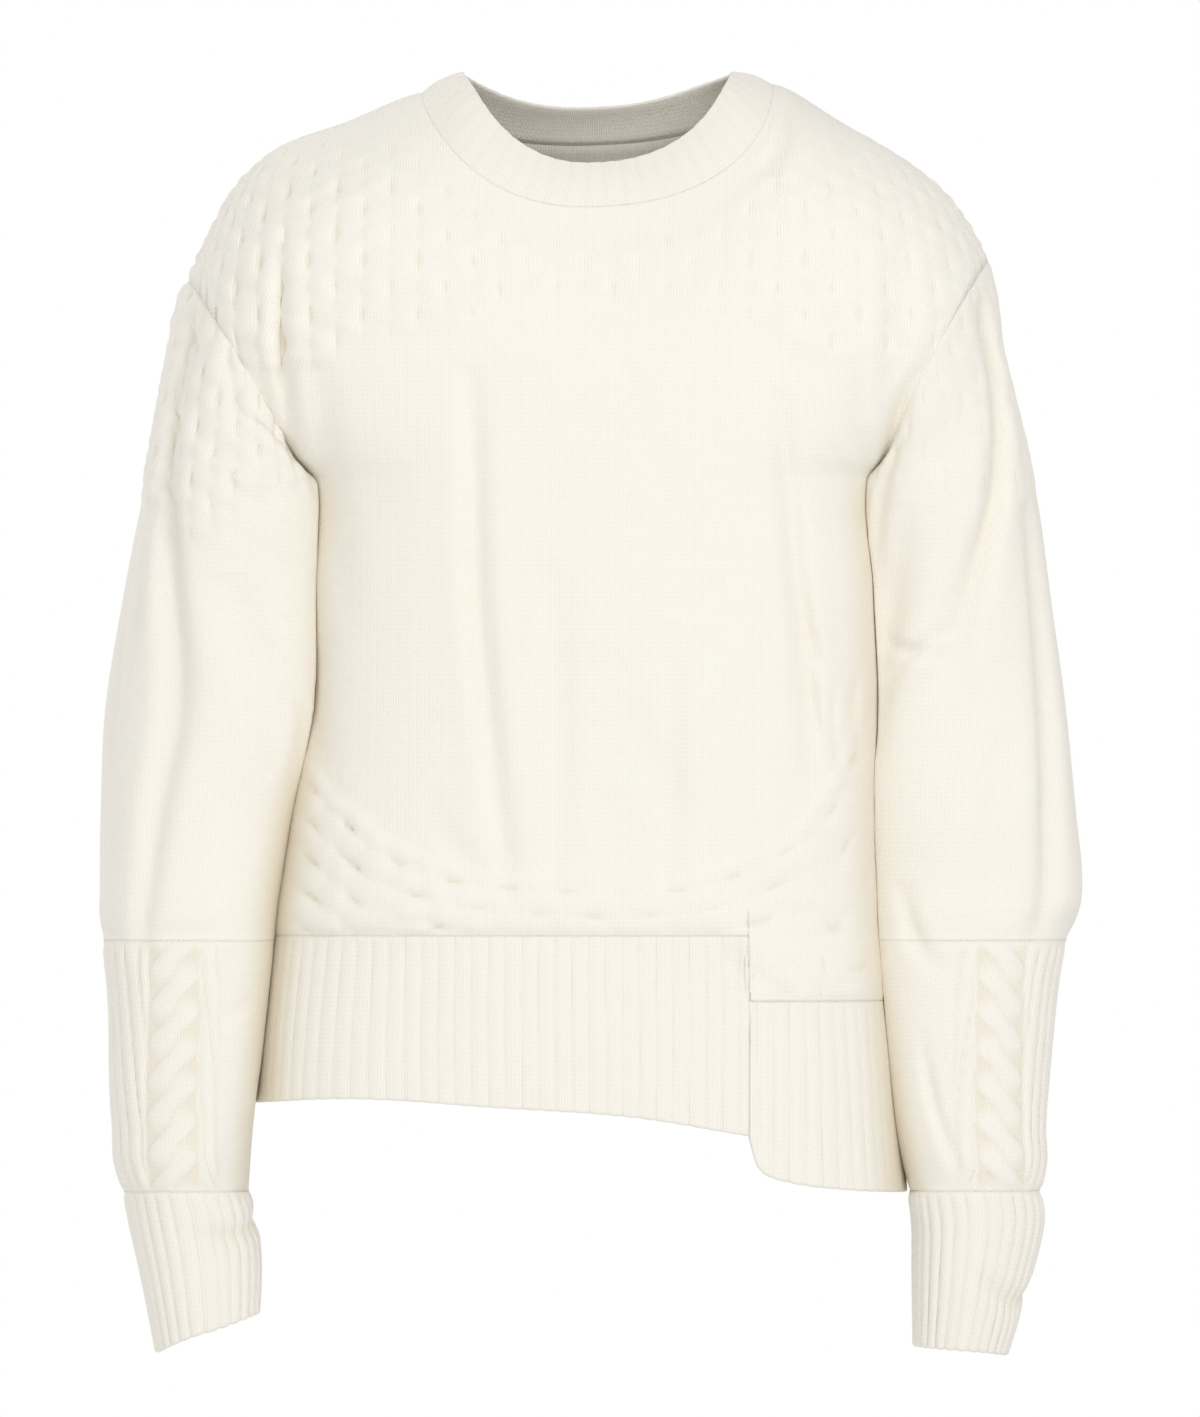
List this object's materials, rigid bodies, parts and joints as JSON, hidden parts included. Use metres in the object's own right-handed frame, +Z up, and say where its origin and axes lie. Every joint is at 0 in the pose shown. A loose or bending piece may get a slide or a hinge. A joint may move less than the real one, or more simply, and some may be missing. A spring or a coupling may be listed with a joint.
{
  "type": "knitted pullover sweater",
  "caption": "Cream knitted pullover, worn and hollow: honeycomb cable yoke, plain body, ribbed neck and cuffs, and a ribbed hem that steps down at a side vent.",
  "frame": {"origin": "middle of the neck opening, level with the two neck points, where the wearer's shoulders carry it", "axes": "+Z up, along the worn garment; the front faces -Y; +X is the wearer's left"},
  "size_m": [0.5668, 0.2659, 0.7449],
  "materials": {
    "knit": "matte cream wool knit"
  },
  "bodies": {
    "root": {"front_panel": "knit", "back_panel": "knit", "sleeve_right": "knit", "sleeve_left": "knit", "forearm_right": "knit", "forearm_left": "knit", "cuff_right": "knit", "cuff_left": "knit", "neckband": "knit", "hem_front": "knit", "hem_side": "knit", "hem_back": "knit"}
  },
  "joints": []
}
